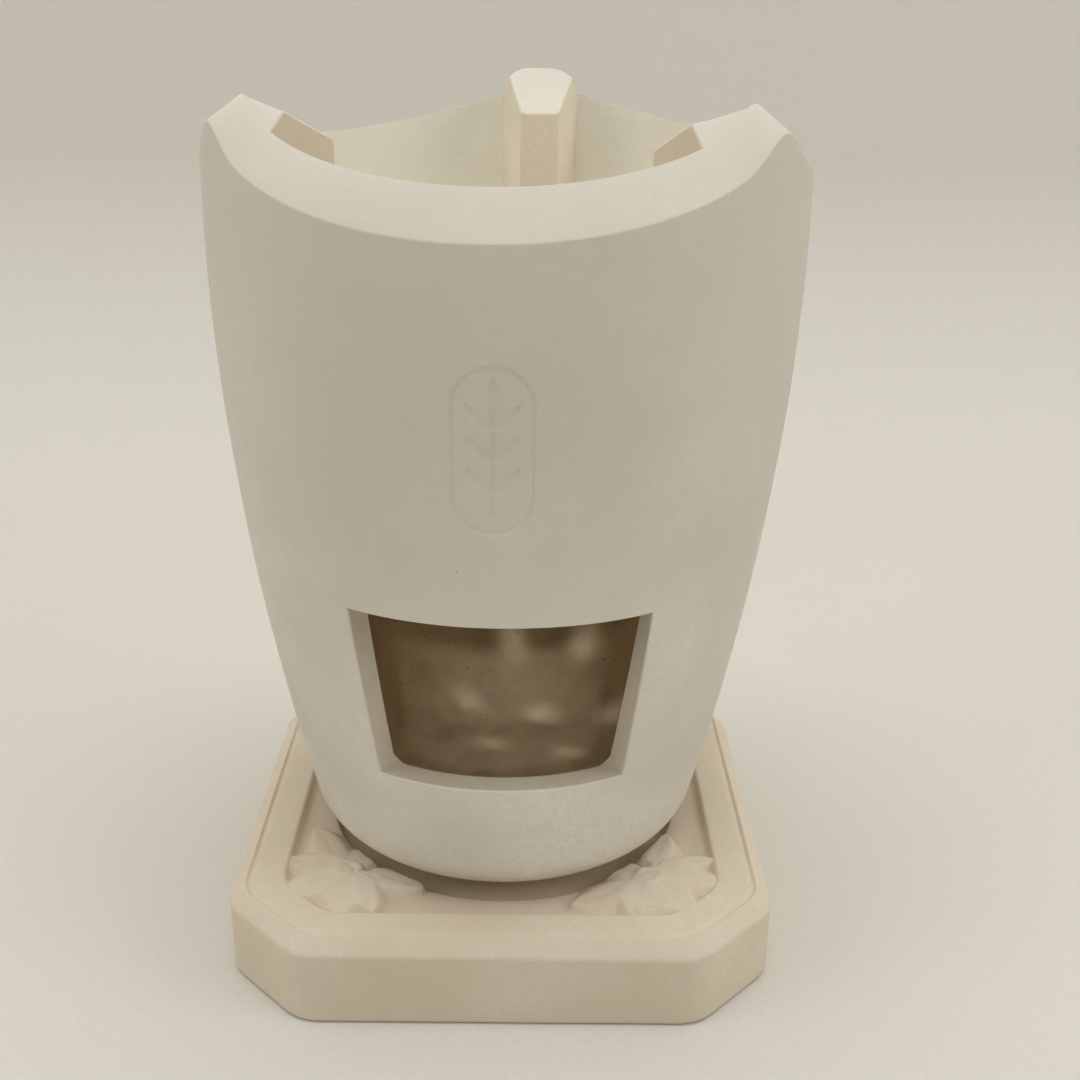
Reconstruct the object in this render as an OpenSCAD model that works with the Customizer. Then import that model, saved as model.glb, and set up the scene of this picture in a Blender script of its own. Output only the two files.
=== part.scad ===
// Charcoal tea stove in unglazed clay, standing loose in its own chamfered square tray.
// Millimetres. Origin under the middle of the tray, +Z up, the draught window faces -Y.
// The wall is turned on a wheel. Its rim is cut into three dips, and the rim rises between
// them to three pot rests that point inwards and carry the kettle.

/* [Tray] */
// Width across the tray's flat sides
tray_side = 150; // [120:0.5:180]
// Leg of each corner chamfer
tray_chamfer = 22; // [5:0.5:35]
// Height of the upright side wall
tray_wall_height = 21.3; // [15:0.1:30]
// Size of the slope from the side wall up to the border
tray_bevel = 4; // [1:0.1:6]
// Width of the flat border inside the slope
tray_border = 10.2; // [6:0.1:18]
// Depth of the panel below the border
panel_depth = 3; // [1:0.1:4]
// Radius of the round well that the stove stands in
well_radius = 51; // [46:0.1:56]
// Height of the well's floor above the table
well_floor = 18.9; // [12:0.1:20]
// Depth of the recess under the tray, which leaves it standing on its edge
foot_recess_depth = 2.5; // [0:0.1:3.5]
// Width of the edge that the tray stands on
foot_edge = 12; // [6:0.5:20]
// Height of the leaf reliefs above the panel
relief_height = 3.6; // [1:0.1:5]

/* [Stove wall] */
// Gap between the stove's foot and the well's floor
foot_gap = 0.3; // [0.1:0.05:1]
// Widest outer radius
wall_radius = 78.1; // [75:0.1:90]
// Thickness of the wall below the rim
wall = 7.2; // [5:0.1:10]
// Inner radius of the wall's straight upper part
rim_inner_radius = 69; // [66:0.1:71]
// Height of the floor inside the ash chamber
ash_floor = 30; // [26:0.5:36]
// How far the wall swells in from its widest radius, 100 mm below that level
swell = 8.9; // [6:0.1:10]
// Level of the widest radius
widest_level = 197; // [185:1:200]
// How far the foot is drawn in by its rounding
foot_round = 19; // [10:0.5:24]
// Height of the rounding
foot_round_height = 17; // [10:0.5:20]

/* [Rim] */
// Where the rim peaks, at the back, left and right, in degrees round the stove
peak_angles = [83, 207, 325];
// Height of the outer edge at the lowest point of the dip after each peak
dip_outer = [206.2, 205, 208.7];
// Height of the inner edge at the lowest point of each dip
dip_inner = [217, 215.8, 219.5];
// Height of the outer edge at the peaks
peak_outer = 225.6; // [220:0.1:230]
// Height of the inner edge at the peaks
peak_inner = 232.8; // [228:0.1:238]

/* [Window] */
// Angle that the draught window spans
window_angle = 60.7; // [40:0.1:80]
// Height of its sill
window_sill = 64.2; // [50:0.1:80]
// Height of its head
window_head = 114; // [90:0.1:114]

/* [Pot rests] */
// Where the back, left and right rests stand, in degrees round the stove
rest_angles = [83, 210, 318.5];
// Height of the top of each nose
nose_top = [222.6, 221.5, 220.6];
// Rise of each top for each millimetre outwards
rest_slope = [0.7, 0.5, 0.53];
// Distance of each nose from the stove's axis
nose_radius = 50; // [42:0.1:54]
// How far each nose is set to the left of the line from its root to the axis
nose_shift = [-2, 0, 0];
// Height of the underside of the nose
nose_bottom = 194; // [185:0.5:205]
// Height of the underside at the wall
rest_wall_bottom = 182; // [180:0.5:190]
// Half of the width at the nose
nose_half_width = 5.8; // [3:0.1:8]
// Half of the width at the wall
rest_half_width = 10.2; // [6:0.1:14]

/* [Fire bowl and grate] */
// Height of the bowl's lip
bowl_lip = 178; // [172:0.5:180]
// Height of the bowl's underside
bowl_bottom = 114.6; // [114:0.1:116]
// Height of the ledge that the grate lies on
ledge = 119; // [118:0.1:122]
// Radius of the hole through the ledge
ledge_radius = 31; // [25:0.1:34]
// Radius of the grate
grate_radius = 36; // [33:0.1:40]
// Thickness of the grate
grate_thickness = 11; // [6:0.1:15]
// Gap under the grate
grate_gap = 0.3; // [0.1:0.05:1]
// Clearance between the grate's edge and its seat
grate_clearance = 1.5; // [0.5:0.1:3]
// Distance from the middle draught hole to the six round it
hole_pitch = 23; // [18:0.1:24]
// Diameter of the draught holes
hole_diameter = 11; // [6:0.1:12]
// Turn of the ring of holes, in degrees
hole_turn = -12; // [-30:1:30]

/* [Hidden] */
$fn = 96;
// Overlap that keeps a cut from ending flush with a face.
eps = 0.01;
// A level above the whole stove.
above_all = 260;

// ---------- tray ----------

tray_top = tray_wall_height + tray_bevel;
panel_level = tray_top - panel_depth;
// Chamfer round the tray's bottom edge.
bottom_chamfer = 1;
// Distance of each spray's root from the tray's two middle lines.
spray_root = 54;
// Direction, length, width and share of the relief height of each leaf in a spray.
spray_leaves = [[182, 29, 8.5, 0.85], [205, 22, 8.5, 1], [225, 15, 8, 0.9], [245, 22, 8.5, 1],
    [268, 29, 8.5, 0.85]];
bud_radius = 6.4;
// The bud's centre stands this far inside the spray's root.
bud_shift = 2;
// Height of the bud over the tallest leaves.
bud_proud = 0.4;
// Depth that a leaf reaches into the panel.
leaf_root = 2;
// Above 1, a leaf's tips end in a low step and not in a feather edge.
leaf_fullness = 1.05;

// A chamfered square whose sides stand in from the tray's by d, all parallel to them.
function octagon(d) =
    let(a = tray_side / 2 - d, b = a - tray_chamfer + d * (2 - sqrt(2)))
    [[b, -a], [a, -b], [a, b], [b, a], [-b, a], [-a, b], [-a, -b], [-b, -a]];

// Chamfered squares joined one over another. Each ring gives its distance in and its height.
module octagon_stack(rings) {
    last = len(rings) - 1;
    points = [for (r = rings) for (p = octagon(r[0])) [p[0], p[1], r[1]]];
    bottom = [[for (i = [0:7]) i]];
    sides = [for (k = [0:last - 1]) for (i = [0:7]) let(j = (i + 1) % 8)
        [k * 8 + i, (k + 1) * 8 + i, (k + 1) * 8 + j, k * 8 + j]];
    lid = [[for (i = [7:-1:0]) last * 8 + i]];
    polyhedron(points, concat(bottom, sides, lid));
}

// One domed leaf lying along +X from the origin.
module leaf(length, width, height) {
    edge_radius = (pow(length, 2) + pow(width, 2)) / (4 * width);
    dome_radius = (pow(length, 2) / 4 + pow(height, 2)) / (2 * height) * leaf_fullness;
    intersection() {
        translate([length / 2, edge_radius - width / 2, -leaf_root])
            cylinder(r = edge_radius, h = height + leaf_root);
        translate([length / 2, width / 2 - edge_radius, -leaf_root])
            cylinder(r = edge_radius, h = height + leaf_root);
        translate([length / 2, 0, height - dome_radius]) sphere(r = dome_radius);
    }
}

module bud() translate([-bud_shift, -bud_shift, 0]) intersection() {
    translate([0, 0, relief_height + bud_proud - bud_radius]) sphere(r = bud_radius);
    translate([0, 0, -leaf_root]) cylinder(r = bud_radius, h = 2 * bud_radius);
}

// A spray of leaves in the corner at +X +Y.
module corner_spray() translate([spray_root, spray_root, panel_level]) {
    for (s = spray_leaves)
        rotate([0, 0, s[0]]) leaf(s[1], s[2], relief_height * s[3]);
    bud();
}

// The tray is one casting. It is divided at the level of the well's floor into a plate and
// a ring, so that the well stays open between solids of simple shape.
module tray_floor() color([0.80, 0.74, 0.66]) difference() {
    octagon_stack([[bottom_chamfer, 0], [0, bottom_chamfer], [0, well_floor]]);
    translate([0, 0, -eps]) linear_extrude(height = foot_recess_depth + eps)
        polygon(octagon(foot_edge));
}

module tray_border() color([0.80, 0.74, 0.66]) difference() {
    union() {
        difference() {
            octagon_stack([[0, well_floor], [0, tray_wall_height], [tray_bevel, tray_top]]);
            translate([0, 0, panel_level]) linear_extrude(height = panel_depth + 1)
                polygon(octagon(tray_bevel + tray_border));
        }
        for (a = [0:90:270]) rotate([0, 0, a]) corner_spray();
    }
    translate([0, 0, well_floor - 1]) cylinder(r = well_radius, h = tray_top);
}

// ---------- stove wall ----------

foot = well_floor + foot_gap;
// Level that the turned wall reaches before the rim is cut.
blank_top = 242;
// Distance below the widest level at which the wall has come in by the whole swell.
swell_reach = 100;
swell_power = 1.83;
foot_power = 2.2;
// The inner corner between floor and wall, its size and how fast it fades upwards.
ash_corner = 9;
ash_corner_fade = 4.5;
// Above this level the inside of the wall is upright, so the fire bowl and rests fit it.
upright_level = 160;
// How far the wall leans in between the widest level and the top of the blank.
rim_taper = 0.4;
outer_steps = 22;
inner_steps = 15;

function wall_outer(z) =
    wall_radius - swell * pow(abs(widest_level - z) / swell_reach, swell_power)
    - foot_round * pow(max(0, 1 - (z - foot) / foot_round_height), foot_power);
function wall_inner(z) =
    min(wall_outer(z) - wall, rim_inner_radius) - ash_corner * exp(-(z - ash_floor) / ash_corner_fade);

// The levels crowd together towards the bottom, where the wall curves most.
outer_line = [for (i = [0:outer_steps])
    let(z = foot + (widest_level - foot) * pow(i / outer_steps, 1.9)) [wall_outer(z), z]];
inner_line = [for (i = [inner_steps:-1:0])
    let(z = ash_floor + (upright_level - ash_floor) * pow(i / inner_steps, 1.7)) [wall_inner(z), z]];

// ---------- rim ----------

// Flat strips that make up each dip.
lobe_steps = 30;
rim_outer_radius = wall_radius - rim_taper / 2;
lobe_power = 2.1;
// Share of a dip's height that flicks up in its last few degrees, and how sharply.
flick = 0.14;
flick_power = 12;
// The cutting ring is wider than the wall on both sides.
ring_inner = 58;
ring_outer = 86;
lobe_ends = concat(peak_angles, [peak_angles[0] + 360]);

// Height of an edge at t, which runs from 0 at one peak to 1 at the next.
function lobe(t, dip, peak) =
    let(s = abs(2 * t - 1))
    dip + (peak - dip) * ((1 - flick) * pow(s, lobe_power) + flick * pow(s, flick_power));

// The cutting surface runs straight inwards from the outer edge, through the inner edge.
function cut_level(k, t, r) =
    let(outer = lobe(t, dip_outer[k], peak_outer))
    let(inner = lobe(t, dip_inner[k], peak_inner))
    outer + (inner - outer) * (rim_outer_radius - r) / (rim_outer_radius - rim_inner_radius);

// One slice through the cutting ring, as its four corners.
function ring_slice(k, t) =
    let(a = lobe_ends[k] + (lobe_ends[k + 1] - lobe_ends[k]) * t)
    [for (c = [[ring_inner, cut_level(k, t, ring_inner)], [ring_outer, cut_level(k, t, ring_outer)],
        [ring_outer, above_all], [ring_inner, above_all]]) [c[0] * cos(a), c[0] * sin(a), c[1]]];

// Everything above the scalloped rim.
module above_rim() {
    slices = [for (k = [0:2]) for (j = [0:lobe_steps - 1]) ring_slice(k, j / lobe_steps)];
    count = len(slices);
    faces = [for (i = [0:count - 1]) let(a = 4 * i, b = 4 * ((i + 1) % count))
        each [[a, b + 1, b], [a, a + 1, b + 1], [a + 1, a + 2, b + 2, b + 1],
            [a + 2, a + 3, b + 3, b + 2], [a + 3, a, b, b + 3]]];
    polyhedron([for (s = slices) each s], faces);
}

// ---------- window and cartouche ----------

// Radii between which the window's wedge is cut, from inside the hollow to outside the wall.
window_reach = [20, 110];

cartouche_size = [19, 40];
cartouche_level = 159;
// Turn of the cartouche away from the middle of the window.
cartouche_turn = -1.5;
groove_width = 0.8;
groove_depth = 0.6;
stem_height = 26;
dash_size = [0.9, 6.5];
dash_tilt = 35;
dash_offset = 2.9;
dash_levels = [-5.5, 2.5, 10.5];
// Half of the height of the band of wall that is thinned to the groove's depth.
band_half = 32;

module window_opening() {
    half = window_angle / 2;
    translate([0, 0, window_sill]) linear_extrude(height = window_head - window_sill)
        polygon([for (c = [[0, -1], [1, -1], [1, 1], [0, 1]])
            let(r = window_reach[c[0]]) [c[1] * r * sin(half), -r * cos(half)]]);
}

// Upright rectangle with round ends.
module stadium(w, h) {
    square([w, h - w], center = true);
    for (side = [-1, 1]) translate([0, side * (h - w) / 2]) circle(d = w);
}

module cartouche_lines() {
    w = cartouche_size[0];
    h = cartouche_size[1];
    difference() {
        stadium(w, h);
        stadium(w - 2 * groove_width, h - 2 * groove_width);
    }
    square([groove_width, stem_height], center = true);
    for (level = dash_levels) for (side = [-1, 1])
        translate([side * dash_offset, level]) rotate(-side * dash_tilt)
            square(dash_size, center = true);
}

// The cartouche's lines, reaching one groove's depth into the wall.
module cartouche_groove() intersection() {
    rotate([0, 0, cartouche_turn]) translate([0, 0, cartouche_level]) rotate([90, 0, 0])
        linear_extrude(height = ring_outer) cartouche_lines();
    difference() {
        translate([0, 0, cartouche_level - band_half + 2])
            cylinder(r = ring_outer, h = 2 * band_half - 4);
        rotate_extrude() polygon(concat([for (i = [0:8])
            let(z = cartouche_level + band_half * (i / 4 - 1)) [wall_outer(z) - groove_depth, z]],
            [[0, cartouche_level + band_half], [0, cartouche_level - band_half]]));
    }
}

module stove_body() color([0.78, 0.76, 0.69]) difference() {
    rotate_extrude() polygon(concat([[0, foot]], outer_line,
        [[wall_radius - rim_taper, blank_top], [rim_inner_radius, blank_top]],
        inner_line, [[0, ash_floor]]));
    window_opening();
    above_rim();
    cartouche_groove();
}

// ---------- pot rests ----------

// A block that holds a whole rest.
rest_base = 170;
rest_block = above_all - rest_base;

module pot_rest(k) {
    reach = rim_inner_radius + 1;
    rise = nose_top[k] + rest_slope[k] * (reach - nose_radius);
    spread = (rest_half_width - nose_half_width) / (rim_inner_radius - nose_radius);
    wall_half = rest_half_width + spread;
    difference() {
        rotate([0, 0, rest_angles[k]]) intersection() {
            translate([0, 2 * wall_half, 0]) rotate([90, 0, 0])
                linear_extrude(height = 4 * wall_half)
                    polygon([[nose_radius, nose_bottom], [nose_radius, nose_top[k]], [reach, rise],
                        [reach, rest_wall_bottom]]);
            translate([0, 0, rest_base]) linear_extrude(height = rest_block)
                polygon([[nose_radius, nose_shift[k] - nose_half_width], [reach, -wall_half],
                    [reach, wall_half], [nose_radius, nose_shift[k] + nose_half_width]]);
            translate([0, 0, rest_base]) cylinder(r = rim_inner_radius, h = rest_block);
        }
        above_rim();
    }
}

module pot_rest_back() color([0.80, 0.77, 0.71]) pot_rest(0);
module pot_rest_left() color([0.80, 0.77, 0.71]) pot_rest(1);
module pot_rest_right() color([0.80, 0.77, 0.71]) pot_rest(2);

// ---------- fire bowl and grate ----------

// Height of the band where the bowl is luted to the wall.
lute_height = 10;
// Outside of the bowl below that band, and its inside above the grate's seat.
bowl_outside = [[60, 151], [50, 131], [45, bowl_bottom]];
bowl_inside = [[45, 138], [54, 152], [61, 166], [65.5, bowl_lip]];
seat_radius = grate_radius + grate_clearance;
seat_top = 131;
holes_in_ring = 6;

module fire_bowl() color([0.70, 0.66, 0.58]) rotate_extrude()
    polygon(concat([[rim_inner_radius, bowl_lip], [rim_inner_radius, bowl_lip - lute_height]],
        bowl_outside, [[ledge_radius, bowl_bottom], [ledge_radius, ledge], [seat_radius, ledge],
        [seat_radius, seat_top]], bowl_inside));

module draught_hole() translate([0, 0, ledge - 1])
    cylinder(d = hole_diameter, h = grate_thickness + 3);

module grate() color([0.72, 0.68, 0.60]) difference() {
    translate([0, 0, ledge + grate_gap]) cylinder(r = grate_radius, h = grate_thickness);
    draught_hole();
    for (i = [0:holes_in_ring - 1])
        rotate([0, 0, hole_turn + i * 360 / holes_in_ring]) translate([hole_pitch, 0, 0])
            draught_hole();
}

tray_floor();
tray_border();
stove_body();
pot_rest_back();
pot_rest_left();
pot_rest_right();
fire_bowl();
grate();
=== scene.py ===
import bisect
import math

import bpy
from mathutils import Matrix, Vector, noise


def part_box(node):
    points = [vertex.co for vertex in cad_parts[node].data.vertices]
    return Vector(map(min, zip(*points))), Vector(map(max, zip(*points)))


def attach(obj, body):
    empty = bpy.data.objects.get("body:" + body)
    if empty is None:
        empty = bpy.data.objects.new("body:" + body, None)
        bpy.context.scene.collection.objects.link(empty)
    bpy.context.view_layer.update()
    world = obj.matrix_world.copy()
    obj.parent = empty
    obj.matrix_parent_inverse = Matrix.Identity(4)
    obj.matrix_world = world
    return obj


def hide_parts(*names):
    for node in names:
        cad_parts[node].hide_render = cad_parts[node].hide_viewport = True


# Looks for a charcoal tea stove in unglazed clay, standing in its chamfered square tray.
# Sizes are in millimetres until a mesh is made. Angles are in degrees round the stove's axis.

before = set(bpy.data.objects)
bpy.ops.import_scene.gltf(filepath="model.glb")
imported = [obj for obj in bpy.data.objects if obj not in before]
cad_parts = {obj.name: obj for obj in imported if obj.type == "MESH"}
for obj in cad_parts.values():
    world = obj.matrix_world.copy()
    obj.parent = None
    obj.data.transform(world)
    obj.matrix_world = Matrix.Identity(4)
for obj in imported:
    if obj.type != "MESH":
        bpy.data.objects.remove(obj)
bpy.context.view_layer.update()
MM = 0.001


def box_mm(node):
    """Lowest and highest corner of a CAD node, in millimetres."""
    low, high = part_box(node)
    return low / MM, high / MM


# ---------- sizes, nearly all as in the CAD part ----------

floor_high = box_mm("tray_floor")[1]
bowl_high = box_mm("fire_bowl")[1]
body_low, body_high = box_mm("stove_body")
grate_low, grate_high = box_mm("grate")

TRAY_HALF = floor_high.x
TRAY_CHAMFER = 22.0
TRAY_CORNER = 5.5
TRAY_WALL_TOP = 21.3
TRAY_BEVEL = 4.0
TRAY_TOP = TRAY_WALL_TOP + TRAY_BEVEL
RECESS_INSET = TRAY_BEVEL + 10.2
BORDER = TRAY_TOP - 0.4
PANEL = TRAY_TOP - 3.0
WELL_RADIUS = 51.0
WELL_FLOOR = floor_high.z
FOOT_EDGE = 12.0
FOOT_RECESS = 2.5

FOOT = body_low.z
WALL_RADIUS = body_high.x
WALL = 7.2
RIM_INNER = 69.0
RIM_OUTER = WALL_RADIUS - 0.2
RIM_BOTTOM_OUTSIDE = 196.0
RIM_BOTTOM_INSIDE = 200.0
ASH_FLOOR = 30.0
WIDEST = 197.0
BOWL_TOP = bowl_high.z
FOOT_ROUND_HEIGHT = 17.0
FOOT_ROUND_DEPTH = 19.0
# How far the outside draws in over 100 mm below or above its widest level.
TAPER = 8.9
COVE = 9.0
COVE_HEIGHT = 4.5

# The rim's peaks at the back, left and right. Each dip follows the peak of the same number.
PEAKS = (83.0, 207.0, 325.0)
DIP_OUTER = (206.2, 205.0, 208.7)
DIP_INNER = (217.0, 215.8, 219.5)
PEAK_OUTER = 225.6
PEAK_WEAR = 3.0
PEAK_INNER = (body_high.z, body_high.z - 1.2, body_high.z - 1.2)

WINDOW_MIDDLE = -90.0
WINDOW_HALF = 60.7 / 2
SILL = 64.2
HEAD = 114.0
# Degrees that the left and right side of the window turn by at the head. Clay within LEAN_REACH
# degrees of a side turns with it, less and less.
OUTER_LEAN = (-1.5, 0.6)
INNER_LEAN = (-1.2, 2.3)
LEAN_REACH = 14.0

MARK_ANGLE = -91.5
MARK_LEVEL = 159.0
MARK_WIDTH = 19.0
MARK_HEIGHT = 40.0
OUTLINE_DEPTH = 0.36
FIELD_DEPTH = 0.16
SPRIG_DEPTH = 0.27


# ---------- small helpers ----------

def steps(start, end, largest):
    """Evenly spaced values from start up to, but not including, end."""
    count = max(1, math.ceil(abs(end - start) / largest - 1e-9))
    return [start + (end - start) * i / count for i in range(count)]


def smooth(x, low, high):
    """0 below low, 1 above high, and a soft rise between them."""
    t = min(1.0, max(0.0, (x - low) / (high - low)))
    return t * t * (3 - 2 * t)


def mix(a, b, t):
    """The place a part t of the way from a to b."""
    return tuple(p + (q - p) * t for p, q in zip(a, b))


def soften(points, radii, count=5):
    """A flat polyline with its corners rounded, each by its own radius."""
    line = [points[0]]
    for before, here, after, radius in zip(points, points[1:], points[2:], radii):
        start = mix(here, before, min(0.45, radius / math.dist(here, before)))
        end = mix(here, after, min(0.45, radius / math.dist(here, after)))
        for i in range(count + 1):
            t = i / count
            line.append(mix(mix(start, here, t), mix(here, end, t), t))
    return line + [points[-1]]


def refine(points, largest):
    """The same polyline, with no stretch longer than largest."""
    line = []
    for a, b in zip(points, points[1:]):
        count = max(1, math.ceil(math.dist(a, b) / largest))
        line += [mix(a, b, i / count) for i in range(count)]
    return line + [points[-1]]


def grid_faces(rows, columns, closed=True):
    """Faces of a grid of points stored row by row. A closed grid joins each row to a loop."""
    faces = []
    for r in range(rows - 1):
        for c in range(columns if closed else columns - 1):
            d = (c + 1) % columns
            a, b = r * columns, (r + 1) * columns
            faces.append((a + c, a + d, b + d, b + c))
    return faces


def make_piece(name, points, faces, body, material, nodes, smooth_angle):
    """A mesh piece that rides on a body and stands for the given CAD nodes."""
    mesh = bpy.data.meshes.new(name)
    mesh.from_pydata([(x * MM, y * MM, z * MM) for x, y, z in points], [], faces)
    mesh.update()
    mesh.shade_smooth()
    mesh.set_sharp_from_angle(angle=math.radians(smooth_angle))
    piece = bpy.data.objects.new(name, mesh)
    bpy.context.scene.collection.objects.link(piece)
    mesh.materials.append(material)
    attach(piece, body)
    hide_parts(*nodes)
    return piece


def wobble(x, y, z, size, seed):
    """Slow unevenness of a hand-made surface, from -1 to 1. size is in millimetres."""
    return noise.noise(Vector((x / size + seed, y / size - seed, z / size + 0.37 * seed)))


# ---------- materials ----------

GREY_PIT = (0.30, 0.25, 0.18, 1)
BROWN_PIT = (0.28, 0.22, 0.15, 1)
TRAY_PIT = (0.35, 0.27, 0.19, 1)


class Nodes:
    """Short calls for building one material's node tree."""

    def __init__(self, name):
        self.material = bpy.data.materials.new(name)
        self.material.use_nodes = True
        self.tree = self.material.node_tree
        self.shader = self.tree.nodes["Principled BSDF"]
        self.place = self.tree.nodes.new("ShaderNodeTexCoord").outputs["Object"]

    def add(self, kind, **inputs):
        """A node with its sockets set. A value that is a socket is linked."""
        node = self.tree.nodes.new(kind)
        for key, value in inputs.items():
            self.put(node.inputs[key.replace("_", " ")], value)
        return node

    def put(self, socket, value):
        if isinstance(value, bpy.types.NodeSocket):
            self.tree.links.new(value, socket)
        else:
            socket.default_value = value

    def scaled(self, scale):
        """The object's coordinates, stretched by a factor along each axis."""
        return self.add("ShaderNodeMapping", Vector=self.place, Scale=scale).outputs["Vector"]

    def noise(self, scale, detail=2.0, stretch=(1, 1, 1), rough=0.5):
        node = self.add("ShaderNodeTexNoise", Vector=self.scaled(stretch), Scale=scale,
                        Detail=detail, Roughness=rough)
        return node.outputs["Fac"]

    def ramp(self, value, low, high, start=0.0, end=1.0):
        """value mapped from low..high to start..end, and held at both ends."""
        node = self.add("ShaderNodeMapRange", Value=value, From_Min=low, From_Max=high,
                        To_Min=start, To_Max=end)
        return node.outputs["Result"]

    def math(self, operation, a, b):
        node = self.tree.nodes.new("ShaderNodeMath")
        node.operation = operation
        self.put(node.inputs[0], a)
        self.put(node.inputs[1], b)
        return node.outputs[0]

    def blend(self, factor, first, second):
        """A colour between two colours or colour sockets."""
        node = self.tree.nodes.new("ShaderNodeMix")
        node.data_type = "RGBA"
        self.put(node.inputs["Factor"], factor)
        self.put(node.inputs["A"], first)
        self.put(node.inputs["B"], second)
        return node.outputs["Result"]

    def pits(self, scale, size, share):
        """Scattered round pits: 1 inside a pit. share is the part of the cells that has one."""
        cell = self.add("ShaderNodeTexVoronoi", Vector=self.place, Scale=scale)
        inside = self.ramp(cell.outputs["Distance"], size, size * 0.5)
        pick = self.add("ShaderNodeSeparateColor", Color=cell.outputs["Color"])
        return self.math("MULTIPLY", inside, self.ramp(pick.outputs["Red"], share, share - 0.01))

    def bump(self, height, depth, below=None):
        """A bump of that many metres. below is an earlier bump to add it to."""
        node = self.add("ShaderNodeBump", Height=height, Strength=1.0, Distance=depth)
        if below is not None:
            self.put(node.inputs["Normal"], below)
        return node.outputs["Normal"]


def clay(name, pale, dark, pit_colour, pit_share, grain_depth, turned=False, painted_shade_up=0.0,
         sooty=0.0):
    """Unglazed clay, with pits in pit_share of its cells and a grain that deep in metres. turned
    adds the faint level lines that trimming on the wheel leaves, painted_shade_up paints shade
    that darkens it a little from the foot to the rim, and sooty adds blotches and specks."""
    n = Nodes(name)
    cloud = n.ramp(n.noise(22.0, 3.0), 0.35, 0.65)
    colour = n.blend(cloud, dark, pale)
    mottle = n.ramp(n.noise(420.0, 3.0), 0.40, 0.66, 0.0, 0.40)
    colour = n.blend(mottle, colour, dark)
    grain = n.noise(1500.0, 2.0)
    colour = n.blend(n.ramp(grain, 0.40, 0.62, 0.0, 0.45), colour, dark)
    normal = n.bump(grain, grain_depth)
    if sooty:
        blotches = n.ramp(n.noise(75.0, 3.0), 0.42, 0.68, 0.0, sooty * 0.35)
        specks = n.math("MULTIPLY", n.pits(430.0, 0.19, 0.45), n.ramp(n.noise(90.0), 0.42, 0.60))
        colour = n.blend(blotches, colour, pit_colour)
        colour = n.blend(n.math("MULTIPLY", specks, sooty * 0.7), colour, pit_colour)
    # Painted shade: the clay darkens from the foot to the rim, as the upper wall faces the dim room
    # and gets less light.
    if painted_shade_up:
        height = n.add("ShaderNodeSeparateXYZ", Vector=n.place).outputs["Z"]
        colour = n.blend(n.ramp(height, 0.04, 0.20, 0.0, painted_shade_up), colour, dark)
    if turned:
        lines = n.noise(9.0, 4.0, (1, 1, 55), 0.6)
        colour = n.blend(n.ramp(lines, 0.42, 0.60, 0.0, 0.07), colour, dark)
        normal = n.bump(lines, grain_depth * 1.3, normal)
    pits = n.pits(95.0, 0.055, pit_share)
    colour = n.blend(n.math("MULTIPLY", pits, 0.7), colour, pit_colour)
    normal = n.bump(pits, -0.00035, normal)
    n.put(n.shader.inputs["Base Color"], colour)
    n.put(n.shader.inputs["Roughness"], n.ramp(grain, 0.3, 0.7, 0.84, 0.96))
    n.put(n.shader.inputs["Normal"], normal)
    n.shader.inputs["Specular IOR Level"].default_value = 0.22
    return n.material


def stove_clay():
    return clay("stove_surface", (0.785, 0.755, 0.672, 1), (0.640, 0.608, 0.526, 1),
                GREY_PIT, 0.05, 0.00006, turned=True, painted_shade_up=0.75)


def rim_clay():
    """The rim and the tops of the rests, trimmed to a clean pale face."""
    return clay("rim_surface", (0.710, 0.682, 0.607, 1), (0.655, 0.622, 0.540, 1),
                GREY_PIT, 0.06, 0.00006, turned=True)


def painted_light_inner_clay():
    """The inside over the fire bowl: a little yellower than the outside, and paler than it as
    painted light for the brightly lit inside.
    """
    return clay("inner_wall_painted_light", (0.870, 0.852, 0.765, 1), (0.820, 0.798, 0.700, 1),
                GREY_PIT, 0.08, 0.00008, turned=True)


def painted_shade_rest_clay():
    """The browner, darker clay on the noses and sides of the pot rests: painted shade for these
    steep faces, which get less light than the tops.
    """
    return clay("rest_painted_shade", (0.755, 0.680, 0.556, 1), (0.690, 0.603, 0.474, 1),
                BROWN_PIT, 0.10, 0.00012)


def painted_light_flank_clay():
    """The sides of the back rest, paler than its nose: painted light for the lit sides."""
    return clay("rest_flank_painted_light", (0.840, 0.778, 0.655, 1), (0.780, 0.708, 0.572, 1),
                BROWN_PIT, 0.10, 0.00010)


def painted_shade_cut_clay():
    """The cut faces round the draught window, browner and darker than the outside: painted shade, as
    the window's head and sides shade them.
    """
    return clay("window_cut_painted_shade", (0.650, 0.590, 0.480, 1), (0.580, 0.510, 0.395, 1),
                BROWN_PIT, 0.10, 0.00010)


def tray_clay():
    return clay("tray_surface", (0.760, 0.684, 0.560, 1), (0.680, 0.597, 0.465, 1),
                TRAY_PIT, 0.04, 0.00007)


def painted_shade_panel_clay():
    """The sunk panel round the well, darker than the border: painted shade, as the raised border
    shades it.
    """
    return clay("panel_painted_shade", (0.715, 0.632, 0.505, 1), (0.640, 0.552, 0.418, 1),
                TRAY_PIT, 0.04, 0.00007)


def well_clay():
    """The tray's well, browner than the rest of the tray."""
    return clay("well_surface", (0.800, 0.675, 0.500, 1), (0.730, 0.595, 0.415, 1),
                (0.30, 0.20, 0.12, 1), 0.06, 0.00009)


def painted_light_chamber_clay():
    """The inside, rougher and warmer, where the clay was only wiped smooth. It is paler than the
    outside as painted light, to brighten the dim ash chamber.
    """
    return clay("chamber_painted_light", (0.900, 0.745, 0.530, 1), (0.810, 0.648, 0.410, 1),
                (0.10, 0.07, 0.04, 1), 0.30, 0.00012, sooty=0.75)


def bowl_clay():
    return clay("bowl_surface", (0.850, 0.810, 0.710, 1), (0.780, 0.732, 0.620, 1),
                (0.16, 0.12, 0.08, 1), 0.16, 0.00012, turned=True)


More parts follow.
